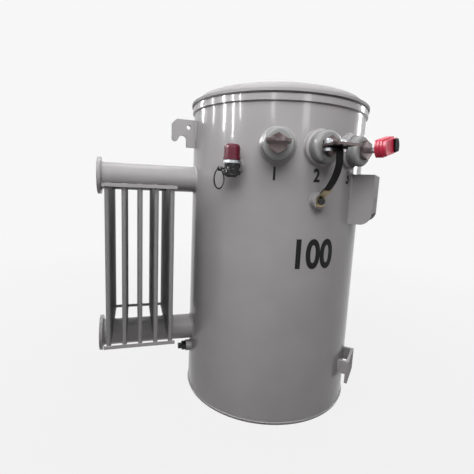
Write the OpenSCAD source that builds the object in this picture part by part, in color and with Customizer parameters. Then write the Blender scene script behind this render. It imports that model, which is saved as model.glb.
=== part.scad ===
// Pole mounted transformer: round steel tank, domed cover, side radiator, sidewall bushings.
// Millimetres, +Z up. The origin is the centre of the tank base.
// The middle low-voltage bushing faces -Y and the radiator stands out along -X.

/* [Tank] */
// Outside radius of the tank wall
tank_r = 310; // [280:1:340]
// Height of the tank wall's top edge
tank_top = 1041; // [980:1:1100]
// Thickness of the tank wall
tank_wall = 5; // [4:0.5:8]
// Thickness of the base plate
base_t = 8; // [6:0.5:12]
// Height of the stiffening band under the cover
rim_h = 20; // [14:1:28]
// Thickness of the stiffening band
rim_t = 6; // [4:0.5:9]
// Thickness of the cover gasket
gasket_t = 4.5; // [3:0.5:8]

/* [Cover] */
// Rise of the cover's dome above its lip
dome_rise = 70; // [55:1:90]
// Radius of the dome's rounded shoulder
dome_round = 26; // [18:1:34]
// Width of the flat lip outside the dome
lip_w = 19; // [14:1:26]
// Thickness of the cover lip
lip_t = 8; // [6:0.5:12]
// Thickness of the dome sheet
dome_t = 4; // [3:0.5:6]

/* [Radiator] */
// Outside radius of the header pipes
header_r = 44.5; // [38:0.5:50]
// Angle of the radiator from the side of the tank
rad_turn = -2; // [-5:0.5:5]
// Wall of the header pipes
header_wall = 4; // [3:0.5:6]
// Depth of the upper header's axis below the tank top
header_drop = 253; // [230:1:290]
// Height of the lower header's axis
header_low_z = 238; // [200:1:260]
// Number of radiator panels
panel_n = 5; // [5:1:5]
// Distance between panel centres
panel_pitch = 47; // [40:0.5:50]
// Gap from the tank wall to the middle of the first panel
panel_start = 94; // [85:1:120]
// Thickness of one panel
panel_t = 13; // [12:0.5:18]
// Width of one panel
panel_w = 362; // [320:1:400]
// Length of header pipe past the last panel
header_past = 28; // [20:1:40]
// Radius of the blank end flanges
blank_r = 61; // [54:1:66]
// Thickness of the blank end flanges
blank_t = 11; // [8:0.5:16]
// Height of the tie strips
tie_h = 10; // [8:0.5:14]
// Thickness of the tie strips
tie_t = 5; // [3:0.5:8]

/* [Low-voltage bushings] */
// Depth of the bushing axes below the tank top
lv_drop = 146; // [130:1:165]
// Angle between neighbouring bushings
lv_step = 24; // [23:0.5:28]
// Angle from the middle bushing to the right one
lv_right = 22.5; // [22:0.5:27]
// Radius of the flange welded to the tank
lv_flange_r = 52.5; // [51:0.5:57]
// Stand-off of the flange face from the tank
lv_flange_t = 14; // [10:0.5:18]
// Radius of the insulator's widest step
lv_body_r = 47; // [44:1:49]
// Length of the insulator
lv_body_len = 36; // [30:1:44]
// Thickness of the hexagon nut
lv_nut_t = 12; // [9:0.5:14]
// Size across flats of the hexagon nut
lv_nut_af = 50; // [46:1:56]
// Metal beside the holes of the terminal palm
palm_edge = 10.8; // [9:0.1:14]
// Metal before and after the holes of the terminal palm
palm_end = 12.8; // [12:0.1:16]
// Thickness of the terminal palm
palm_t = 6.5; // [6:0.5:10]
// Spacing of the four holes in the palm
palm_pitch = 44.45; // [40:0.05:46]
// Diameter of the holes in the palm
palm_hole = 14.3; // [12:0.1:15]
// Roll of the right palm about its bushing
palm_roll = 16; // [0:1:25]

/* [Ground strap] */
// Width of the strap
strap_w = 20; // [16:1:26]
// Thickness of the strap
strap_t = 5; // [3:0.5:7]
// Depth of the ground boss below the bushing axes
ground_drop = 156; // [140:1:170]
// Radius of the ground boss
ground_r = 22; // [18:0.5:26]
// Stand-off of the ground boss from the tank
ground_len = 20; // [14:1:26]

/* [Relief valve] */
// Angle of the valve round the tank
valve_phi = -46; // [-50:1:-42]
// Depth of the valve boss below the tank top
valve_drop = 209; // [195:1:225]
// Radius of the valve boss
valve_r = 20; // [18:0.5:22]
// Stand-off of the valve's upright axis from the tank wall
valve_out = 40; // [39:0.5:46]
// Radius of the valve body
valve_body_r = 21; // [19:0.5:22]
// Depth of the valve body below its boss
valve_low = 34; // [30:1:40]
// Height of the valve cap above its boss
valve_high = 61; // [54:1:68]
// Radius of the pull ring
ring_r = 29; // [24:0.5:32]
// Radius of the pull ring's wire
ring_wire = 2.2; // [1.6:0.1:2.6]

/* [Lugs and hangers] */
// Thickness of the lifting lugs
lug_t = 12; // [10:0.5:16]
// Depth of the top of the lifting lugs below the tank top
lug_drop = 52; // [40:1:70]
// Height of the lifting lugs
lug_h = 92; // [80:1:110]
// Reach of the lifting lugs
lug_out = 83; // [76:1:90]
// Width of the sling notch
lug_slot = 28; // [24:1:32]
// Angle of the pole hangers round the tank
hang_phi = 45; // [43:0.5:47]
// Stand-off of the upper hanger's face from the tank wall
hang_out = 56; // [52:1:70]
// Plate thickness of the hangers
hang_t = 10; // [8:0.5:14]
// Width of the upper hanger
hang_up_w = 186; // [160:1:210]
// Height of the upper hanger above its bolt hole
hang_up_h = 84; // [70:1:95]
// Depth of the upper hanger's side plates below its bolt hole
hang_up_tail = 76; // [65:1:85]
// Stand-off of the lower hanger's face from the tank wall
hang_low_out = 30; // [28:1:50]
// Width of the lower hanger
hang_low_w = 125; // [100:1:140]
// Height of the lower hanger's face above its bolt hole
hang_low_h = 24; // [21:0.5:34]
// Depth of the lower hanger's face below its bolt hole
hang_low_tail = 56; // [48:1:66]
// Height of the lower bolt hole
hang_hole_z = 152; // [140:1:165]
// Depth of the upper bolt hole below the tank top
hang_drop = 298.5; // [290:0.5:310]
// Diameter of the bolt holes
hang_hole = 22; // [18:0.5:24]

/* [High-voltage bushings] */
// Half the angle between the two rear bushings
hv_half = 20; // [18:0.5:24]
// Depth of the rear bushing axes below the tank top
hv_drop = 161; // [140:1:180]
// Radius of the rear bushing flange
hv_flange_r = 62; // [56:1:66]
// Number of sheds
shed_n = 5; // [4:1:6]
// Distance between sheds
shed_pitch = 34; // [30:1:38]
// Radius of the sheds
shed_r = 54; // [48:1:58]
// Radius of the core between the sheds
core_r = 34; // [30:1:38]
// Stand-off of the rear flange's face
hv_flange_t = 16; // [12:0.5:20]
// Length of the rear terminal stud
hv_stud = 44; // [38:1:50]
// Radius of the rear terminal stud
hv_stud_r = 9; // [7:0.5:11]
// Thickness of the rear terminal nut
hv_nut_t = 20; // [16:0.5:24]

/* [Part] */
// Piece to draw

/* [Hidden] */
$fn = 96;
fit = 0.3;
root = 8;
paint = "silver";
dark = "dimgray";
tin = "gainsboro";

header_top_z = tank_top - header_drop;
lv_z = tank_top - lv_drop;
ground_z = lv_z - ground_drop;
valve_z = tank_top - valve_drop;
lug_top = tank_top - lug_drop;
hang_r = tank_r + hang_out;
hang_low_r = tank_r + hang_low_out;
hang_top_z = tank_top - hang_drop;
hv_z = tank_top - hv_drop;

gasket_top = tank_top + gasket_t;
lip_top = gasket_top + lip_t;
lip_r = tank_r + rim_t + 3;
dome_r = lip_r - lip_w;
// The crown's arc meets the shoulder's arc without a step.
shoulder_r = dome_r - dome_round;
crown_r = (shoulder_r * shoulder_r + dome_rise * dome_rise - dome_round * dome_round)
  / (2 * (dome_rise - dome_round));
crown_z = lip_top + dome_rise - crown_r;
crown_edge = shoulder_r / (crown_r - dome_round);

panel_x0 = tank_r + panel_start;
header_end = panel_x0 + (panel_n - 1) * panel_pitch + header_past;
panel_low = header_low_z + header_r / 2;
panel_high = header_top_z - header_r / 2;

lv_face = tank_r + lv_flange_t;
lv_nut_r = lv_face + lv_body_len;
palm_r0 = lv_nut_r + lv_nut_t;
palm_w = palm_pitch + 2 * palm_edge;
palm_root = 2;
palm_len = palm_pitch + 2 * palm_end;
palm_r = palm_r0 + palm_len;
palm_mid = palm_r0 + palm_len / 2;
palm_under = lv_z - palm_t / 2;

strap_z = palm_under - strap_t / 2;
bolt_row = palm_mid - palm_pitch / 2;
bolt_r = palm_hole / 2 - 0.5;
pad_len = 2 * (bolt_row - palm_r0) - 1;
pad_end = palm_r0 + pad_len;
lug_strip = 4;
ground_face = tank_r + ground_len;

valve_face = tank_r + 12;
valve_axis = tank_r + valve_out;
hv_face = tank_r + hv_flange_t;
hv_foot = 0.47 * shed_pitch;
hv_len = hv_foot + shed_n * shed_pitch;

// Child's +Z points away from the tank axis, its +Y up and its +X along the wall.
module out_at(phi, r, z)
  rotate([0, 0, phi]) translate([0, -r, z]) rotate([90, 0, 0]) children();

// Plate standing in a plane through the tank axis, drawn as radius and height.
module radial_plate(phi, t, off = 0)
  rotate([0, 0, phi]) translate([off, 0, 0]) rotate([0, 0, -90]) rotate([90, 0, 0])
    linear_extrude(height = t, center = true) children();

// Cuts the foot of a welded piece to the round of the tank wall.
module off_tank()
  difference() {
    children();
    cylinder(r = tank_r + fit, h = tank_top);
  }

// Turns the radiator to its place beside the tank.
module beside() rotate([0, 0, rad_turn]) children();

module along_x(x0, x1, z, r)
  translate([x0, 0, z]) rotate([0, 90, 0]) cylinder(r = r, h = x1 - x0);

module hexagon(af, h) rotate([0, 0, 30]) cylinder(r = af / sqrt(3), h = h, $fn = 6);

module tank_shell() color(paint)
  difference() {
    translate([0, 0, base_t]) cylinder(r = tank_r, h = tank_top - base_t);
    translate([0, 0, base_t - 1]) cylinder(r = tank_r - tank_wall, h = tank_top);
    beside() for (z = [header_low_z, header_top_z])
      along_x(-tank_r - 10, -tank_r / 2, z, header_r - header_wall);
  }

module tank_base() color(paint) cylinder(r = tank_r, h = base_t);

module tank_rim() color(paint)
  translate([0, 0, tank_top - rim_h]) difference() {
    cylinder(r = tank_r + rim_t, h = rim_h);
    translate([0, 0, -1]) cylinder(r = tank_r + fit, h = rim_h + 2);
  }

module cover_gasket() color("black")
  translate([0, 0, tank_top]) difference() {
    cylinder(r = lip_r - 1, h = gasket_t);
    translate([0, 0, -1]) cylinder(r = tank_r - tank_wall - 4, h = gasket_t + 2);
  }

// Half section of the dome: a shallow crown with a rounded shoulder, drawn in by this much.
module dome_half(inset) union() {
  intersection() {
    translate([0, lip_top - 1]) square([(crown_r - inset) * crown_edge, dome_rise + 2]);
    translate([0, crown_z]) circle(r = crown_r - inset, $fn = 360);
  }
  intersection() {
    translate([shoulder_r, lip_top - 1]) square([dome_round, dome_round + 2]);
    translate([shoulder_r, lip_top]) circle(r = dome_round - inset);
  }
}

module tank_cover() color(paint)
  rotate_extrude() {
    translate([dome_r - 30, gasket_top]) square([lip_r - dome_r + 30, lip_t]);
    difference() {
      dome_half(0);
      dome_half(dome_t);
      translate([0, lip_top - 2]) square([dome_r - dome_t, 2.5]);
    }
  }

lug_leg = 0.4 * lug_out;
lug_tip = lug_out - lug_leg - lug_slot;
lug_tip_z = lug_top - 0.685 * lug_h;
lug_slot_z = lug_top - 0.73 * lug_h;
lug_cut = 0.19 * lug_out;
lug_hole_u = 0.313 * lug_out;
lug_hole_z = lug_top - 0.272 * lug_h;
lug_hole_r = 0.09 * lug_out;

module lug_shape() translate([tank_r + fit, 0])
  difference() {
    union() {
      polygon([[0, lug_top - lug_h], [lug_leg, lug_top - lug_h], [lug_leg, lug_tip_z], [lug_out, lug_tip_z],
        [lug_out, lug_top - lug_cut], [lug_out - lug_cut, lug_top], [0, lug_top]]);
      translate([lug_out - lug_tip / 2, lug_tip_z]) circle(r = lug_tip / 2);
    }
    translate([lug_leg + lug_slot / 2, lug_slot_z]) circle(r = lug_slot / 2);
    translate([lug_leg, lug_top - 1.2 * lug_h]) square([lug_slot, lug_slot_z - lug_top + 1.2 * lug_h]);
    translate([lug_hole_u, lug_hole_z]) circle(r = lug_hole_r);
  }

module lift_lug_left() color(paint) radial_plate(-90, lug_t) lug_shape();

module lift_lug_right() color(paint) radial_plate(90, lug_t) lug_shape();

module header(z) color(paint)
  off_tank() beside() difference() {
    along_x(-header_end, -tank_r + 20, z, header_r);
    along_x(-header_end - 1, -tank_r + 30, z, header_r - header_wall);
  }

module header_upper() header(header_top_z);

module header_lower() header(header_low_z);

module blank(z) color(paint) beside() along_x(-header_end - blank_t, -header_end, z, blank_r);

module blank_upper() blank(header_top_z);

module blank_lower() blank(header_low_z);

flute_n = 6;
flute_r = 24;
flute_deep = 2;

module panel_plan() difference() {
  union() {
    square([panel_t, panel_w - 10], center = true);
    square([panel_t - 10, panel_w], center = true);
    for (x = [-1, 1], y = [-1, 1]) translate([x * (panel_t / 2 - 5), y * (panel_w / 2 - 5)]) circle(r = 5);
  }
  for (s = [-1, 1], i = [0 : flute_n - 1])
    translate([s * (panel_t / 2 + flute_r - flute_deep), (i - (flute_n - 1) / 2) * panel_w / (flute_n + 0.6)])
      circle(r = flute_r);
}

module panel(i) color(paint)
  beside() difference() {
    translate([-panel_x0 - (i - 1) * panel_pitch, 0, panel_low])
      linear_extrude(height = panel_high - panel_low) panel_plan();
    for (z = [header_low_z, header_top_z]) along_x(-header_end, -tank_r, z, header_r + fit);
  }

module panel_1() panel(1);

module panel_2() panel(2);

module panel_3() panel(3);

module panel_4() panel(4);

module panel_5() panel(5);

module ties(z) color(paint)
  beside() for (s = [-1, 1])
    translate([-header_end + header_past - panel_t, s * (panel_w + tie_t) / 2 - tie_t / 2, z])
      cube([(panel_n - 1) * panel_pitch + 2 * panel_t, tie_t, tie_h]);

module ties_upper() ties(panel_high - tie_h);

module ties_lower() ties(panel_low);

function lv_phi(k) = k > 0 ? lv_right : k * lv_step;

module lv_flange(k) color(paint)
  off_tank() out_at(lv_phi(k), tank_r - root, lv_z) union() {
    cylinder(r = lv_flange_r, h = root + lv_flange_t - 5);
    translate([0, 0, root + lv_flange_t - 5]) cylinder(r1 = lv_flange_r, r2 = lv_flange_r - 5, h = 5);
  }

module lv_flange_left() lv_flange(-1);

module lv_flange_mid() lv_flange(0);

module lv_flange_right() lv_flange(1);

lv_round = 11;

module lv_insulator(k) color(dark)
  out_at(lv_phi(k), lv_face, lv_z) rotate_extrude()
    difference() {
      union() {
        square([lv_body_r, lv_body_len - lv_round]);
        square([lv_body_r - lv_round, lv_body_len]);
        translate([lv_body_r - lv_round, lv_body_len - lv_round]) circle(r = lv_round);
      }
      translate([lv_body_r - 3, 8]) square([4, 5]);
    }

module lv_insulator_left() lv_insulator(-1);

module lv_insulator_mid() lv_insulator(0);

module lv_insulator_right() lv_insulator(1);

module lv_terminal(k, roll = 0) color(tin)
  out_at(lv_phi(k), lv_nut_r, lv_z) rotate([0, 0, roll]) difference() {
    union() {
      hexagon(lv_nut_af, lv_nut_t);
      translate([-palm_w / 2, -palm_t / 2, lv_nut_t - palm_root]) cube([palm_w, palm_t, palm_len + palm_root]);
    }
    for (x = [-1, 1], z = [-1, 1])
      translate([x * palm_pitch / 2, palm_t, lv_nut_t + palm_len / 2 + z * palm_pitch / 2])
        rotate([90, 0, 0]) cylinder(d = palm_hole, h = 2 * palm_t);
  }

module lv_terminal_left() lv_terminal(-1);

module lv_terminal_mid() lv_terminal(0);

module lv_terminal_right() lv_terminal(1, palm_roll);

cap_up = 8;
cap_high = 50;
cap_over = 30;
cap_len = cap_over + 2;
cap_rib = 2;
cap_step = 22;
cap_nose = 42;
cap_end = 6;
cap_side = 10;

module terminal_cap() color("firebrick")
  out_at(lv_phi(1), palm_r - cap_over, lv_z) rotate([0, 0, palm_roll]) difference() {
    translate([0, cap_up, 0]) intersection() {
      union() {
        cylinder(r1 = palm_w / 2 + 5, r2 = palm_w / 2 + 3, h = cap_len);
        for (z = [0, 9, 18]) translate([0, 0, z]) cylinder(r = palm_w / 2 + 5 + cap_rib, h = 4);
      }
      union() {
        translate([-palm_w, -cap_high / 2, 0]) cube([2 * palm_w, cap_high, cap_step]);
        translate([-palm_w, -cap_nose / 2, 0]) cube([2 * palm_w, cap_nose, cap_len]);
      }
    }
    translate([-palm_w / 2 - fit, -palm_t / 2 - fit, -1])
      cube([palm_w + 2 * fit, palm_t + 2 * fit, cap_over + 1]);
  }

module terminal_cap_end() color("black")
  out_at(lv_phi(1), palm_r - cap_over + cap_len, lv_z) rotate([0, 0, palm_roll])
    translate([0, cap_up, 0]) intersection() {
      cylinder(r = palm_w / 2, h = cap_end);
      translate([cap_side, -18, 0]) cube([palm_w, 36, cap_end]);
    }

module ground_boss() color(tin)
  off_tank() difference() {
    out_at(0, tank_r - root, ground_z) cylinder(r = ground_r, h = root + ground_len);
    out_at(0, tank_r + 4, ground_z) cylinder(r = bolt_r + fit, h = ground_len);
  }

function curve(p, t) = p[0] * pow(1 - t, 3) + p[1] * 3 * pow(1 - t, 2) * t
  + p[2] * 3 * (1 - t) * t * t + p[3] * pow(t, 3);
function side(d) = [-d[1], d[0]] / norm(d);

// The strap leaves the palm outwards, bends down in a bow and comes back to its lug in a straight tail.
tail = [cos(34), sin(34)];
tail_len = 24;
tail_in = [ground_face + 14, ground_z + ground_r + 1];
tail_out = tail_in + tail * tail_len;
bow_top = [pad_end + 14, strap_z - 36];
strap_steps = 12;
strap_line = concat(
  [for (i = [0 : strap_steps - 1]) curve([[pad_end, strap_z], [pad_end + 11, strap_z],
    [pad_end + 13, strap_z - 14], bow_top], i / strap_steps)],
  [for (i = [0 : strap_steps]) curve([bow_top, bow_top - [-1, 30], tail_out + tail * 26, tail_out], i / strap_steps)],
  [tail_in]
);
strap_last = len(strap_line) - 1;
strap_side = [for (i = [0 : strap_last])
  side(strap_line[min(i + 1, strap_last)] - strap_line[max(i - 1, 0)]) * strap_t / 2];

module strap_shape() union() {
  translate([palm_r0, strap_z - strap_t / 2]) square([pad_len, strap_t]);
  polygon(concat(
    [for (i = [0 : strap_last]) strap_line[i] + strap_side[i]],
    [for (i = [strap_last : -1 : 0]) strap_line[i] - strap_side[i]]
  ));
}

module ground_strap() color("black")
  difference() {
    union() {
      radial_plate(0, strap_w) strap_shape();
      translate([-palm_w / 2, -pad_end, strap_z - strap_t / 2]) cube([palm_w, pad_len - 1, strap_t]);
    }
    for (x = [-1, 1]) translate([x * palm_pitch / 2, -bolt_row, strap_z - strap_t])
      cylinder(d = palm_hole, h = 2 * strap_t);
  }

// The lug's tongue stands flat on the boss and its upper leg lies under the strap's tail.
leg_top = tail_in + [sin(34), -cos(34)] * (strap_t / 2 + 0.1);
leg_low = leg_top + [sin(34), -cos(34)] * lug_strip;
leg_run = (ground_face - leg_top[0]) / cos(34);

module ground_lug() color("goldenrod")
  difference() {
    radial_plate(0, strap_w + 4) polygon([
      [ground_face, ground_z - 16], [ground_face + lug_strip, ground_z - 16],
      [ground_face + lug_strip, leg_low[1] + (ground_face + lug_strip - leg_low[0]) * tan(34)],
      leg_low + tail * tail_len, leg_top + tail * tail_len, leg_top + tail * leg_run
    ]);
    out_at(0, tank_r, ground_z) cylinder(r = bolt_r + fit, h = 2 * ground_len);
  }

module ground_bolt() color("silver")
  out_at(0, tank_r + 6, ground_z) union() {
    cylinder(r = bolt_r, h = ground_len + lug_strip - 5);
    translate([0, 0, ground_len + lug_strip - 6]) hexagon(19, 8);
  }

module strap_bolts() color(tin)
  for (x = [-1, 1]) translate([x * palm_pitch / 2, -bolt_row, palm_under - strap_t]) {
    translate([0, 0, -8]) hexagon(19, 8);
    translate([0, 0, -1]) cylinder(r = bolt_r, h = strap_t + palm_t + 15);
    translate([0, 0, strap_t + palm_t]) hexagon(19, 10);
  }

module valve_boss() color(paint)
  off_tank() out_at(valve_phi, tank_r - root, valve_z) cylinder(r = valve_r, h = root + valve_face - tank_r);

// Child's +Z points up on the valve's upright axis, and its -Y away from the tank.
module on_valve() rotate([0, 0, valve_phi]) translate([0, -valve_axis, valve_z]) children();

valve_seat = valve_r - 4;
valve_foot = 7;
valve_hex = 12;
ear_len = 26;
ear_t = 6;
ear_h = 13;
ear_z = -0.3 * valve_low;
eye_x = -valve_body_r - ear_len + ear_h / 2;
eye_r = ring_wire + 1.2;
cap_round = 11;
cap_r = valve_body_r + 3;

module valve_body() color("black")
  on_valve() difference() {
    union() {
      translate([0, 0, -valve_low]) cylinder(r1 = valve_body_r - valve_foot, r2 = valve_body_r, h = valve_foot);
      translate([0, 0, -valve_low + valve_foot]) cylinder(r = valve_body_r, h = valve_low - valve_foot + valve_seat);
      translate([0, 0, -valve_low + valve_foot]) hexagon(2 * valve_body_r + 4, valve_hex);
      rotate([-90, 0, 0]) cylinder(r = valve_r - 5, h = valve_axis - valve_face);
      translate([eye_x, -ear_t / 2, ear_z - ear_h / 2]) cube([-eye_x, ear_t, ear_h]);
      translate([eye_x, 0, ear_z]) rotate([90, 0, 0]) cylinder(r = ear_h / 2, h = ear_t, center = true);
    }
    translate([eye_x, 0, ear_z]) rotate([90, 0, 0]) cylinder(r = eye_r, h = 2 * ear_t, center = true);
  }

module valve_cap() color("darkred")
  on_valve() translate([0, 0, valve_seat]) rotate_extrude() union() {
    square([cap_r, valve_high - valve_seat - cap_round]);
    square([cap_r - cap_round, valve_high - valve_seat]);
    translate([cap_r - cap_round, valve_high - valve_seat - cap_round]) circle(r = cap_round);
    square([cap_r + 1.5, 7]);
  }

module valve_ring() color("black")
  on_valve() translate([eye_x, 0, ear_z - eye_r + ring_wire + fit - ring_r]) rotate([0, 90, 0])
    rotate_extrude() translate([ring_r, 0]) circle(r = ring_wire);

function hang_foot(w) = sqrt(tank_r * tank_r - w * w / 4) - 12;
hang_round = 0.45 * hang_up_tail;

module hanger(w, face_r, z0, z1, g0, g1, round_r, hole_z) color(paint)
  off_tank() difference() {
    union() {
      rotate([0, 0, hang_phi]) translate([-w / 2, -face_r, z0]) cube([w, hang_t, z1 - z0]);
      for (s = [-1, 1]) radial_plate(hang_phi, hang_t, s * (w - hang_t) / 2) union() {
        translate([hang_foot(w), g0 + round_r]) square([face_r - hang_foot(w), g1 - g0 - round_r]);
        translate([hang_foot(w), g0]) square([face_r - hang_foot(w) - round_r, g1 - g0]);
        translate([face_r - round_r, g0 + round_r]) circle(r = round_r);
      }
    }
    out_at(hang_phi, face_r - 2 * hang_t, hole_z) cylinder(d = hang_hole, h = 3 * hang_t);
  }

module hanger_upper()
  hanger(hang_up_w, hang_r, hang_top_z - hang_up_tail + hang_round, hang_top_z + hang_up_h,
    hang_top_z - hang_up_tail, hang_top_z + hang_up_h, hang_round, hang_top_z);

module hanger_lower()
  hanger(hang_low_w, hang_low_r, hang_hole_z - hang_low_tail, hang_hole_z + hang_low_h,
    hang_hole_z - 0.4 * hang_low_tail, hang_hole_z + hang_low_h, hang_t, hang_hole_z);

drain_z = 166;
drain_face = tank_r + 20;

module drain_boss() color(paint)
  off_tank() out_at(-90, tank_r - 4, drain_z) cylinder(r = 20, h = 4 + drain_face - tank_r);

module drain_plug() color("black")
  out_at(-90, drain_face, drain_z) union() {
    hexagon(32, 14);
    translate([-8, -8, 13]) cube([16, 16, 15]);
  }

module hv_flange(s) color(paint)
  off_tank() out_at(180 + s * hv_half, tank_r - root, hv_z) cylinder(r = hv_flange_r, h = root + hv_face - tank_r);

module hv_flange_left() hv_flange(1);

module hv_flange_right() hv_flange(-1);

module hv_insulator(s) color(dark)
  out_at(180 + s * hv_half, hv_face, hv_z) rotate_extrude()
    polygon(concat(
      [[0, 0], [1.4 * core_r, 0], [1.4 * core_r, 0.6 * hv_foot], [core_r, 0.9 * hv_foot]],
      [for (i = [0 : shed_n - 1], k = [0 : 3]) let (z = hv_foot + i * shed_pitch)
        [[core_r, z + 0.06 * shed_pitch], [shed_r, z + 0.35 * shed_pitch],
          [shed_r, z + 0.47 * shed_pitch], [core_r, z + 0.7 * shed_pitch]][k]],
      [[core_r, hv_len], [0, hv_len]]
    ));

module hv_insulator_left() hv_insulator(1);

module hv_insulator_right() hv_insulator(-1);

module hv_terminal(s) color(tin)
  out_at(180 + s * hv_half, hv_face + hv_len, hv_z) union() {
    cylinder(r = 0.88 * core_r, h = 0.4 * hv_nut_t);
    hexagon(1.2 * core_r, hv_nut_t);
    cylinder(r = hv_stud_r, h = hv_stud);
  }

module hv_terminal_left() hv_terminal(1);

module hv_terminal_right() hv_terminal(-1);

tank_shell();
tank_base();
tank_rim();
cover_gasket();
tank_cover();
lift_lug_left();
lift_lug_right();
header_upper();
header_lower();
blank_upper();
blank_lower();
panel_1();
panel_2();
panel_3();
panel_4();
panel_5();
ties_upper();
ties_lower();
lv_flange_left();
lv_flange_mid();
lv_flange_right();
lv_insulator_left();
lv_insulator_mid();
lv_insulator_right();
lv_terminal_left();
lv_terminal_mid();
lv_terminal_right();
terminal_cap();
terminal_cap_end();
ground_boss();
ground_strap();
ground_lug();
ground_bolt();
strap_bolts();
valve_boss();
valve_body();
valve_cap();
valve_ring();
hanger_upper();
hanger_lower();
drain_boss();
drain_plug();
hv_flange_left();
hv_flange_right();
hv_insulator_left();
hv_insulator_right();
hv_terminal_left();
hv_terminal_right();
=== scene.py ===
import math

import bmesh
import bpy
from mathutils import Matrix, Vector


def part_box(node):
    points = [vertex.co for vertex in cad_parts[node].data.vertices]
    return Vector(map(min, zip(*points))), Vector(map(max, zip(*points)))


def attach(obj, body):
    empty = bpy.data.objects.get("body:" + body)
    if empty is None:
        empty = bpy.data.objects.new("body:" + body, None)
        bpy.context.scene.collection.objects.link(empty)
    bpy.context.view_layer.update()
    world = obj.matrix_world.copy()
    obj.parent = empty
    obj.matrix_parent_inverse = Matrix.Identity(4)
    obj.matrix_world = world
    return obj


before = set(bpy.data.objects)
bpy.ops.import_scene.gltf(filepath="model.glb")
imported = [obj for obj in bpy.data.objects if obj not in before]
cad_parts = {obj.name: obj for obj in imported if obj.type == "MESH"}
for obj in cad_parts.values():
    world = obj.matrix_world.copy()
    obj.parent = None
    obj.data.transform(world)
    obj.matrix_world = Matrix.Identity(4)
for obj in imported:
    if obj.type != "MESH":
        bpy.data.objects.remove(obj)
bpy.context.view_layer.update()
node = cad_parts
scene = bpy.context.scene

# Tank: a rolled steel cylinder on a flat base disc, with a flat stiffening band welded under its
# top edge and one upright seam weld at the rear. It is sprayed with a light grey gloss enamel.
TANK_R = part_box("tank_shell")[1].x
BASE_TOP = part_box("tank_base")[1].z
RIM_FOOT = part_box("tank_rim")[0].z


def linear(hex_code):
    """An sRGB colour written as six hex digits, as linear red, green, blue and alpha."""
    parts = [int(hex_code[i:i + 2], 16) / 255 for i in (1, 3, 5)]
    return [c / 12.92 if c <= 0.04045 else ((c + 0.055) / 1.055) ** 2.4 for c in parts] + [1.0]


def add_node(owner, kind, links=(), **settings):
    """Adds one node, sets its properties or inputs by name, and links (from socket, to input)."""
    made = owner.node_tree.nodes.new(kind)
    for key, value in settings.items():
        if key in made.inputs:
            made.inputs[key].default_value = value
        else:
            setattr(made, key, value)
    for source, target in links:
        owner.node_tree.links.new(source, made.inputs[target])
    return made


def mottled(name, dark, light, patch, spread=None, stretch=None, gloss=None, grain=None, **settings):
    """A finish whose colour drifts between two tones in patches of this size in metres.

    A narrow spread sharpens the patches, stretch draws them out, gloss lets the roughness follow
    them between two values, and grain is the size, strength and depth of a finer bump.
    """
    material = bpy.data.materials.new(name)
    material.use_nodes = True
    link = material.node_tree.links.new
    shader = material.node_tree.nodes["Principled BSDF"]
    for key, value in settings.items():
        shader.inputs[key].default_value = value
    place = add_node(material, "ShaderNodeTexCoord").outputs["Object"]
    drawn = place
    if stretch:
        drawn = add_node(material, "ShaderNodeMapping", [(place, "Vector")], Scale=stretch).outputs[0]
    cloud = add_node(material, "ShaderNodeTexNoise", [(drawn, "Vector")], Scale=1 / patch)
    cloud = cloud.outputs["Fac"]
    share = cloud
    if spread:
        edges = {"From Min": spread[0], "From Max": spread[1]}
        share = add_node(material, "ShaderNodeMapRange", [(cloud, "Value")], **edges).outputs["Result"]
    tone = add_node(
        material, "ShaderNodeMix", [(share, "Factor")],
        data_type="RGBA", A=linear(dark), B=linear(light),
    )
    link(tone.outputs["Result"], shader.inputs["Base Color"])
    if gloss:
        ends = {"To Min": gloss[0], "To Max": gloss[1]}
        sheen = add_node(material, "ShaderNodeMapRange", [(cloud, "Value")], **ends)
        link(sheen.outputs["Result"], shader.inputs["Roughness"])
    if grain:
        size, strength, depth = grain
        fine = add_node(material, "ShaderNodeTexNoise", [(place, "Vector")], Scale=1 / size)
        height = [(fine.outputs["Fac"], "Height")]
        bump = add_node(material, "ShaderNodeBump", height, Strength=strength, Distance=depth)
        link(bump.outputs["Normal"], shader.inputs["Normal"])
    return material


def dress(material, *names):
    """Puts one material on CAD nodes."""
    for name in names:
        node[name].data.materials.clear()
        node[name].data.materials.append(material)


# Gloss alkyd enamel, sprayed: an even light grey that mirrors lamps as sharp bright streaks. It
# has cloudy changes about 150 mm across where the film is thicker, and an orange peel that is
# drawn 12 mm across, coarser than it is, so that it shows.
ENAMEL_CLOUD = 0.15
ORANGE_PEEL = (0.012, 0.05, 0.001)
enamel = mottled(
    "grey_gloss_enamel", "#858384", "#939192", ENAMEL_CLOUD, gloss=(0.18, 0.28), grain=ORANGE_PEEL,
    **{"Specular IOR Level": 0.15, "Coat Weight": 0.25, "Coat Roughness": 0.06},
)
dress(enamel, "tank_shell", "tank_base", "tank_rim")


def tank_piece(name, bm, material):
    """Turns a bmesh into a smooth-shaded piece that rides on the tank."""
    bmesh.ops.remove_doubles(bm, verts=bm.verts, dist=1e-6)
    bmesh.ops.recalc_face_normals(bm, faces=bm.faces)
    mesh = bpy.data.meshes.new(name)
    bm.to_mesh(mesh)
    bm.free()
    mesh.shade_smooth()
    mesh.materials.append(material)
    piece = bpy.data.objects.new(name, mesh)
    scene.collection.objects.link(piece)
    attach(piece, "root")
    return piece


BEAD_SIDES = 8
BEAD_END = 0.6
LONG_LOOP = 180
SHORT_LOOP = 64


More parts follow.
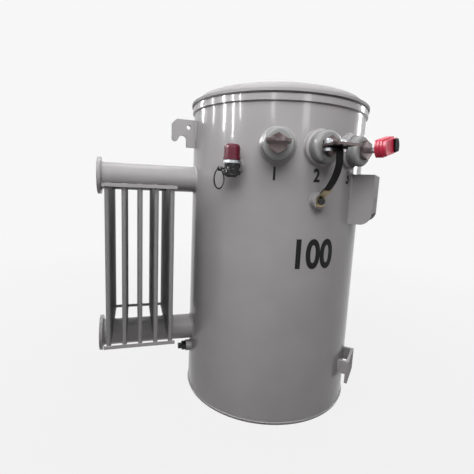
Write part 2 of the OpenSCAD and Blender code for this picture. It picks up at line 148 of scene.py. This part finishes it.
def bead_loop(ring_r, bead_r, steps):
    """A closed weld bead round the local Z axis, as a bmesh."""
    bm = bmesh.new()
    made = bmesh.ops.create_circle(bm, segments=BEAD_SIDES, radius=bead_r)
    turn = Matrix.Translation((ring_r, 0, 0)) @ Matrix.Rotation(math.pi / 2, 4, "X")
    bmesh.ops.transform(bm, matrix=turn, verts=made["verts"])
    bmesh.ops.spin(
        bm, geom=bm.verts[:] + bm.edges[:], cent=(0, 0, 0), axis=(0, 0, 1),
        angle=2 * math.pi, steps=steps, use_merge=True,
    )
    return bm


def straight_weld(name, x, y, foot, top, bead_r):
    """An upright weld bead with rounded ends."""
    bm = bmesh.new()
    bmesh.ops.create_cone(
        bm, cap_ends=True, segments=BEAD_SIDES, radius1=bead_r, radius2=bead_r, depth=top - foot,
        matrix=Matrix.Translation((x, y, (foot + top) / 2)),
    )
    rims = [e for e in bm.edges if abs(e.verts[0].co.z - e.verts[1].co.z) < 1e-9]
    bmesh.ops.bevel(
        bm, geom=rims, offset=bead_r * BEAD_END, affect="EDGES", segments=2, profile=0.5, material=-1,
    )
    tank_piece(name, bm, weld)


# Enamelled weld bead: the ripples of the weld, about 4 mm apart, show through the same grey.
weld = mottled(
    "enamelled_weld_bead", "#838182", "#918F90", 0.01, grain=(0.004, 0.6, 0.001), Roughness=0.3,
)
TANK_BEAD = 0.0025
TANK_BEAD_PROUD = 0.0005
for name, z in (("tank_base_weld", BASE_TOP), ("tank_rim_weld", RIM_FOOT)):
    bead = bead_loop(TANK_R + TANK_BEAD_PROUD, TANK_BEAD, LONG_LOOP)
    bmesh.ops.translate(bead, vec=(0, 0, z), verts=bead.verts)
    tank_piece(name, bead, weld)
straight_weld("tank_seam_weld", 0, TANK_R, BASE_TOP, RIM_FOOT, TANK_BEAD)

# Cover: a pressed steel dome with a flat lip, enamelled apart from the tank. It is clamped down on
# a black nitrile rubber gasket that shows as a dark line all round.
# Semi-gloss enamel: the tank's grey with a flatter film, so the dome stays grey up to its edge. Its
# tones are painted light: a few shades lighter than the tank's, for the light that the cover, the
# lugs, the hangers and the ties catch.
semi_gloss_painted_light = mottled(
    "grey_semi_gloss_enamel_painted_light", "#8B898A", "#999798", ENAMEL_CLOUD, gloss=(0.4, 0.5), grain=ORANGE_PEEL,
    **{"Specular IOR Level": 0.015},
)
dress(semi_gloss_painted_light, "tank_cover")
# Nitrile rubber: dull black with a fine grain, so it stays dark under any light. The grain is
# drawn 3 mm across, coarser than it is.
nitrile = mottled(
    "black_nitrile_rubber", "#111111", "#1A1A1A", 0.02, grain=(0.003, 0.2, 0.001), Roughness=0.7,
)
dress(nitrile, "cover_gasket")

# Radiator: five pressed steel panels between two header pipes that are welded into the tank. The
# pipe ends are closed with welded discs, and flat strips tie the panel edges together.
dress(enamel, "header_upper", "header_lower", "blank_upper", "blank_lower")
dress(semi_gloss_painted_light, "ties_upper", "ties_lower")
# Flow-coated enamel: the panels are dipped, so the film has a low shine and thickens slightly in
# upright runs about 20 mm wide and 300 mm long. Its grey is painted shade: darker than the tank's,
# for the shadow that falls between the panels.
RUN_W = 0.02
RUN_LEN = 0.3
dipped_painted_shade = mottled(
    "grey_flow_coat_enamel_painted_shade", "#737273", "#818081", RUN_W, stretch=(1, 1, RUN_W / RUN_LEN),
    Roughness=0.45, **{"Specular IOR Level": 0.06},
)
dress(dipped_painted_shade, *[f"panel_{number}" for number in range(1, 6)])

FOOT_PROUD = 0.001


def round_place(phi, r, z):
    """Matrix that puts local X along the wall, local Y up and local Z outwards at this angle."""
    out = Matrix.Translation((0, -r, z)) @ Matrix.Rotation(math.pi / 2, 4, "X")
    return Matrix.Rotation(math.radians(phi), 4, "Z") @ out


def foot_weld(name, phi, bead_r, proud=FOOT_PROUD):
    """A weld bead where the round foot of a CAD node meets the round tank wall."""
    low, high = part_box(name)
    bm = bead_loop((high.z - low.z) / 2 + proud, bead_r, SHORT_LOOP)
    for vert in bm.verts:
        vert.co.z += math.sqrt(TANK_R ** 2 - vert.co.x ** 2) - TANK_R
    bmesh.ops.transform(bm, matrix=round_place(phi, TANK_R, (low.z + high.z) / 2), verts=bm.verts)
    tank_piece(f"{name}_weld", bm, weld)


BLANK_T = 0.011
HEADER_BEAD = 0.004
BLANK_BEAD = 0.003
for name in ("upper", "lower"):
    low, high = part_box(f"blank_{name}")
    blank_at = (low + high) / 2
    header_phi = math.degrees(math.atan2(blank_at.x, -blank_at.y))
    foot_weld(f"header_{name}", header_phi, HEADER_BEAD)
    low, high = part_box(f"header_{name}")
    bead = bead_loop((high.z - low.z) / 2 + FOOT_PROUD, BLANK_BEAD, SHORT_LOOP)
    inner_r = blank_at.xy.length - BLANK_T / 2
    bmesh.ops.transform(bead, matrix=round_place(header_phi, inner_r, blank_at.z), verts=bead.verts)
    tank_piece(f"blank_{name}_weld", bead, weld)

# Pole hangers: bent steel plate in two legs and a face, with both legs fillet welded to the tank
# wall. Each weld has its distance from the hanger's middle, its foot and its top.
dress(semi_gloss_painted_light, "hanger_upper", "hanger_lower")
HANGER_PHI = 45
HANGER_BEAD = 0.004
HANGER_WELDS = {"upper": (0.093, 0.672, 0.822), "lower": (0.0625, 0.142, 0.174)}
for name, (reach, foot, top) in HANGER_WELDS.items():
    for face, side in (("near", -1), ("far", 1)):
        wall = Vector((side * reach, -math.sqrt(TANK_R ** 2 - reach ** 2), 0))
        wall.rotate(Matrix.Rotation(math.radians(HANGER_PHI), 3, "Z"))
        straight_weld(f"hanger_{name}_{face}_weld", wall.x, wall.y, foot, top, HANGER_BEAD)

# Lifting lugs: flame-cut steel plate with a sling notch, fillet welded to the tank wall along both
# faces and enamelled with the cover.
dress(semi_gloss_painted_light, "lift_lug_left", "lift_lug_right")
LUG_BEAD = 0.003
LUG_BEAD_END = 0.004
for name, side in (("left", -1), ("right", 1)):
    low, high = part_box(f"lift_lug_{name}")
    foot = low.z + LUG_BEAD_END
    top = high.z - LUG_BEAD_END
    for face, y in (("front", low.y), ("rear", high.y)):
        x = side * (TANK_R + FOOT_PROUD)
        straight_weld(f"lug_{name}_{face}_weld", x, y, foot, top, LUG_BEAD)

# Low-voltage bushings: a steel flange welded to the tank, a grey glazed porcelain body, and a
# tin-plated copper terminal with a hexagon nut and a flat four-hole palm.
# Glazed porcelain: a smooth glassy skin over a plain grey body, with faint cloudiness.
porcelain = mottled(
    "grey_glazed_porcelain", "#737474", "#818281", 0.03,
    Roughness=0.12, IOR=1.52, **{"Coat Weight": 0.2},
)
# Tin-plated copper that has gone dull: a warm grey plating that has tarnished to brown in patches
# about 22 mm across, over a drawn surface with a soft shine.
tinned = mottled(
    "tin_plated_copper", "#4A4041", "#7C7070", 0.022, spread=(0.36, 0.62),
    grain=(0.006, 0.12, 0.0005), Metallic=0.85, Roughness=0.27,
)
LV_PHI = {"left": -24, "mid": 0, "right": 22.5}
LV_BEAD = 0.0022
LV_BEAD_PROUD = 0.0005
for name, phi in LV_PHI.items():
    dress(enamel, f"lv_flange_{name}")
    dress(porcelain, f"lv_insulator_{name}")
    dress(tinned, f"lv_terminal_{name}")
    foot_weld(f"lv_flange_{name}", phi, LV_BEAD, proud=LV_BEAD_PROUD)

# Ground strap: copper braid in a black vinyl sleeve, bolted under the middle palm with zinc-plated
# bolts. Its lower end sits in a bronze lug, and a black bolt holds that on a boss on the tank.
# Black vinyl: nearly no colour, with a dull broken shine from the braid that prints through.
sleeve = mottled(
    "black_vinyl_sleeve", "#080707", "#0E0D0D", 0.01, grain=(0.005, 0.25, 0.001),
    Roughness=0.5, **{"Specular IOR Level": 0.1},
)
dress(sleeve, "ground_strap")
# Cast bronze: a soft yellow-brown, darker in cloudy patches where it has tarnished.
bronze = mottled(
    "cast_bronze", "#7B6D55", "#A39578", 0.008, grain=(0.003, 0.15, 0.0005),
    Metallic=1.0, Roughness=0.35,
)
dress(bronze, "ground_lug")
# Zinc-plated steel: bluish bright grey with a mottled, slightly dull skin.
zinc = mottled("zinc_plated_steel", "#9EA2A6", "#C8CBCE", 0.005, gloss=(0.28, 0.42), Metallic=1.0)
dress(zinc, "strap_bolts")
dress(enamel, "ground_boss")
GROUND_PHI = 0
BOSS_BEAD = 0.0025
foot_weld("ground_boss", GROUND_PHI, BOSS_BEAD)

# Terminal cap: a ribbed red vinyl cap pushed over the end of the right palm, with a black nylon
# plug in its end.
# Red vinyl: a strong crimson with a waxy shine, a little deeper where the wall is thick.
red_vinyl = mottled(
    "red_moulded_vinyl", "#A3102F", "#C02045", 0.02, grain=(0.004, 0.1, 0.0005), Roughness=0.34,
)
dress(red_vinyl, "terminal_cap")
# Black nylon: a spark-eroded grain that spreads the highlights, drawn 2 mm across so that it shows.
black_nylon = mottled(
    "black_moulded_nylon", "#0F0F10", "#161617", 0.008, grain=(0.002, 0.15, 0.0005),
    Roughness=0.5, **{"Specular IOR Level": 0.02},
)
dress(black_nylon, "terminal_cap_end")

# Relief valve: a welded steel boss, a black upright body with a spanner hexagon, and a dark red
# cap over a bright twelve-sided lock ring. An ear on the body carries a black wire pull ring.
dress(enamel, "valve_boss")
VALVE_PHI = -46
foot_weld("valve_boss", VALVE_PHI, BOSS_BEAD)
# Black gloss enamel: a deep black over a cast skin, which breaks the lamps into small bright marks.
black_gloss = mottled(
    "black_gloss_enamel", "#09090A", "#0E0E0F", 0.02, grain=(0.012, 1.0, 0.004),
    Roughness=0.12, **{"Specular IOR Level": 0.35},
)
dress(black_gloss, "valve_body")
# Dark red lacquer: a deep wine colour under a clear gloss, so its highlights are near white.
lacquer = mottled(
    "dark_red_lacquer", "#43081A", "#5F0D26", 0.01, Roughness=0.3,
    **{"Specular IOR Level": 0.25, "Coat Weight": 0.3, "Coat Roughness": 0.05},
)
dress(lacquer, "valve_cap")
# Black oxide on steel: a dark, faintly blue skin with worn, lighter specks.
black_oxide = mottled(
    "black_oxide_steel", "#1C1C1D", "#333335", 0.004, Metallic=0.6, Roughness=0.4,
)
dress(black_oxide, "valve_ring", "ground_bolt")

LOCK_SIDES = 12
LOCK_R = 0.0245
LOCK_H = 0.009
LOCK_DROP = 0.0055
LOCK_EDGE = 0.0008
low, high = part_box("valve_cap")
lock_at = Vector(((low.x + high.x) / 2, (low.y + high.y) / 2, low.z - LOCK_DROP))
lock_bm = bmesh.new()
bmesh.ops.create_cone(
    lock_bm, cap_ends=True, segments=LOCK_SIDES, radius1=LOCK_R, radius2=LOCK_R, depth=LOCK_H,
    matrix=Matrix.Translation(lock_at),
)
bmesh.ops.bevel(
    lock_bm, geom=lock_bm.edges[:], offset=LOCK_EDGE, affect="EDGES",
    segments=1, profile=0.5, material=-1,
)
lock_ring = tank_piece("valve_lock_ring", lock_bm, zinc)
lock_ring.data.shade_flat()

# Drain: a steel half coupling welded to the tank wall under the lower header. A black iron plug is
# screwed into it.
dress(enamel, "drain_boss")
dress(black_oxide, "drain_plug")
DRAIN_PHI = -90
foot_weld("drain_boss", DRAIN_PHI, BOSS_BEAD)

# High-voltage bushings: two shed porcelain insulators on steel flanges that are welded to the rear
# of the tank. Each ends in a tin-plated nut and stud.
HV_PHI = {"left": 200, "right": 160}
HV_BEAD = 0.003
for name, phi in HV_PHI.items():
    dress(enamel, f"hv_flange_{name}")
    dress(porcelain, f"hv_insulator_{name}")
    dress(tinned, f"hv_terminal_{name}")
    foot_weld(f"hv_flange_{name}", phi, HV_BEAD)

# Stencilled numerals: plain black digits sprayed on the tank wall, one under each low-voltage
# bushing and a larger number below them.
# Stencil ink: flat black, with a slightly uneven sprayed film.
ink = mottled(
    "black_stencil_ink", "#0D0D0D", "#151515", 0.015, grain=(0.006, 0.15, 0.0005),
    Roughness=0.5, **{"Specular IOR Level": 0.15},
)
DIGIT_CAP = 0.7
DIGIT_SQUEEZE = 0.8
DIGIT_BOLD = 0.045
INK_T = 0.00015
INK_LIFT = 0.0003
BEND_STEP = 0.008


def stencil(name, digits, phi, z, height):
    """Digits bent round the tank wall, centred at this angle and height."""
    words = bpy.data.curves.new(name, "FONT")
    words.body = digits
    words.align_x = "CENTER"
    words.align_y = "CENTER"
    words.size = height / DIGIT_CAP
    words.offset = height * DIGIT_BOLD
    words.extrude = INK_T
    flat = bpy.data.objects.new(f"{name}_flat", words)
    scene.collection.objects.link(flat)
    mesh = flat.to_mesh(depsgraph=bpy.context.evaluated_depsgraph_get())
    bm = bmesh.new()
    bm.from_mesh(mesh)
    flat.to_mesh_clear()
    bpy.data.objects.remove(flat)
    bmesh.ops.remove_doubles(bm, verts=bm.verts, dist=1e-6)
    bmesh.ops.scale(bm, vec=(DIGIT_SQUEEZE, 1, 1), verts=bm.verts)
    reach = max(abs(v.co.x) for v in bm.verts)
    cut = -reach + BEND_STEP / 2
    while cut < reach:
        geom = bm.verts[:] + bm.edges[:] + bm.faces[:]
        bmesh.ops.bisect_plane(bm, geom=geom, plane_co=(cut, 0, 0), plane_no=(1, 0, 0))
        cut += BEND_STEP
    for vert in bm.verts:
        turn = math.radians(phi) + vert.co.x / TANK_R
        r = TANK_R + INK_LIFT + vert.co.z
        vert.co = Vector((r * math.sin(turn), -r * math.cos(turn), z + vert.co.y))
    piece = tank_piece(name, bm, ink)
    piece.data.shade_flat()


DIGIT_PHI = {"1": -25, "2": -1, "3": 23}
DIGIT_Z = 0.812
DIGIT_H = 0.037
for digit, phi in DIGIT_PHI.items():
    stencil(f"stencil_{digit}", digit, phi, DIGIT_Z, DIGIT_H)
NUMBER_PHI = 0.5
NUMBER_Z = 0.57
NUMBER_H = 0.087
stencil("stencil_number", "100", NUMBER_PHI, NUMBER_Z, NUMBER_H)

# Floor: a plain pale studio floor, with matt paint. To the camera and in reflections it fades to
# the backdrop's white beyond three metres, and near the tank it keeps part of its soft shadow.
FLOOR_REACH = 30
floor_bm = bmesh.new()
bmesh.ops.create_grid(floor_bm, x_segments=1, y_segments=1, size=FLOOR_REACH)
floor_mesh = bpy.data.meshes.new("floor")
floor_bm.to_mesh(floor_mesh)
floor_bm.free()
floor = bpy.data.objects.new("floor", floor_mesh)
scene.collection.objects.link(floor)
pale = mottled("matt_floor_paint", "#6A6667", "#6E6A6B", 0.4, Roughness=0.9)
floor_mesh.materials.append(pale)
BACKDROP = linear("#F7F7F7")
WHITE_SHARE = 0.92
FADE_FROM = 0.5
FADE_TO = 3.0


def seen_rays(owner):
    """A socket that is 1 for the camera's rays and for mirrored and transmitted rays, else 0."""
    ray = add_node(owner, "ShaderNodeLightPath").outputs
    mirrored = [(ray["Is Camera Ray"], 0), (ray["Is Glossy Ray"], 1)]
    seen = add_node(owner, "ShaderNodeMath", mirrored, operation="MAXIMUM").outputs[0]
    through = [(seen, 0), (ray["Is Transmission Ray"], 1)]
    return add_node(owner, "ShaderNodeMath", through, operation="MAXIMUM").outputs[0]


floor_place = add_node(pale, "ShaderNodeTexCoord").outputs["Object"]
floor_reach = add_node(pale, "ShaderNodeVectorMath", [(floor_place, 0)], operation="LENGTH")
fade = add_node(
    pale, "ShaderNodeMapRange", [(floor_reach.outputs["Value"], "Value")],
    **{"From Min": FADE_FROM, "From Max": FADE_TO, "To Min": WHITE_SHARE},
)
lit = pale.node_tree.nodes["Principled BSDF"].outputs[0]
glow = add_node(pale, "ShaderNodeEmission", Color=BACKDROP, Strength=1.0).outputs[0]
white = [(seen_rays(pale), 0), (fade.outputs["Result"], 1)]
share = add_node(pale, "ShaderNodeMath", white, operation="MULTIPLY").outputs[0]
blend = add_node(pale, "ShaderNodeMixShader", [(share, 0), (lit, 1), (glow, 2)]).outputs[0]
pale.node_tree.links.new(blend, pale.node_tree.nodes["Material Output"].inputs["Surface"])

# Backdrop and light: a white room that gives a little light all round, and soft boxes that look at
# the tank. The large ones hardly show in the gloss, so that the domed cover keeps its grey.
AMBIENT = 0.1
world = bpy.data.worlds.new("studio")
world.use_nodes = True
scene.world = world
room = world.node_tree.nodes["Background"]
room.inputs["Color"].default_value = linear("#FFFFFF")
room.inputs["Strength"].default_value = AMBIENT
backdrop = add_node(world, "ShaderNodeBackground", Color=BACKDROP, Strength=1.0).outputs[0]
views = [(seen_rays(world), 0), (room.outputs[0], 1), (backdrop, 2)]
blend = add_node(world, "ShaderNodeMixShader", views).outputs[0]
world.node_tree.links.new(blend, world.node_tree.nodes["World Output"].inputs["Surface"])


def lamp(name, place, aim_z, size, power, lights=True, mirrors=True):
    """A rectangular soft box that looks at the tank, lights surfaces and is mirrored in gloss."""
    data = bpy.data.lights.new(name, "AREA")
    data.shape = "RECTANGLE"
    data.size, data.size_y = size
    data.energy = power
    made = bpy.data.objects.new(name, data)
    made.location = place
    made.rotation_mode = "QUATERNION"
    made.rotation_quaternion = (Vector((0, 0, aim_z)) - Vector(place)).to_track_quat("-Z", "Y")
    made.visible_camera = False
    made.visible_diffuse = lights
    made.visible_glossy = mirrors
    scene.collection.objects.link(made)


KEY_AT = (-0.6, -1.15, 2.2)
KEY_AIM = 0.9
KEY_SIZE = (2.2, 1.6)
lamp("key_box", KEY_AT, KEY_AIM, KEY_SIZE, 72, mirrors=False)
lamp("key_sheen", KEY_AT, KEY_AIM, KEY_SIZE, 16, lights=False)
lamp("top_box", (0.0, 0.6, 3.6), KEY_AIM, (2.0, 2.0), 30)
REAR_AIM = 0.7
REAR_SIZE = (2.0, 1.6)
lamp("rear_right_box", (2.6, 2.0, 2.0), REAR_AIM, REAR_SIZE, 75, mirrors=False)
lamp("rear_left_box", (-1.0, 3.0, 2.4), REAR_AIM, REAR_SIZE, 75, mirrors=False)
LEFT_AT = (-3.2, 0.4, 2.3)
LEFT_AIM = 1.1
LEFT_SIZE = (2.4, 1.8)
lamp("left_box", LEFT_AT, LEFT_AIM, LEFT_SIZE, 28, mirrors=False)
lamp("left_sheen", LEFT_AT, LEFT_AIM, LEFT_SIZE, 20, lights=False)

# Narrow upright lamps show only in the gloss, as streaks under the tank's upper edge. Each has its
# place, width, foot and glare.
STREAKS = (
    (-2.1, 2.1, 0.16, 1.42, 50), (-2.78, 1.1, 0.12, 1.44, 50), (-3.0, 0.17, 0.2, 1.35, 60),
    (-2.95, -0.52, 0.14, 1.27, 60), (-2.83, -1.0, 0.12, 1.47, 50), (-1.55, -2.57, 0.22, 1.47, 14),
    (0.4, -2.97, 0.4, 1.38, 10), (3.0, 0.3, 0.3, 0.85, 24),
)
STREAK_TOP = 3.1
for number, (x, y, width, foot, glare) in enumerate(STREAKS, start=1):
    middle = (foot + STREAK_TOP) / 2
    height = STREAK_TOP - foot
    power = glare * math.pi * width * height
    lamp(f"streak_{number}", (x, y, middle), middle, (width, height), power, lights=False)

# Camera: a wide lens close to the tank, fitted to the tank's rims in the photograph.
HEADING = math.radians(18.85)
PITCH = math.radians(8.64)
ROLL = math.radians(2.56)
CAMERA_AT = (-0.5575, -1.2176, 0.7762)
FILM_W = 36
LENS = 26.0
level = Vector((math.cos(HEADING), -math.sin(HEADING), 0))
forward = Vector((math.sin(HEADING), math.cos(HEADING), 0))
ahead = forward * math.cos(PITCH) - Vector((0, 0, math.sin(PITCH)))
rise = level.cross(ahead)
across = level * math.cos(ROLL) + rise * math.sin(ROLL)
upward = rise * math.cos(ROLL) - level * math.sin(ROLL)
camera_data = bpy.data.cameras.new("camera")
camera_data.sensor_width = FILM_W
camera_data.lens = LENS
camera_data.clip_start = 0.01
camera = bpy.data.objects.new("camera", camera_data)
camera_turn = Matrix((across, upward, -ahead)).transposed().to_4x4()
camera.matrix_world = Matrix.Translation(CAMERA_AT) @ camera_turn
scene.collection.objects.link(camera)
scene.camera = camera
scene.view_settings.view_transform = "Standard"
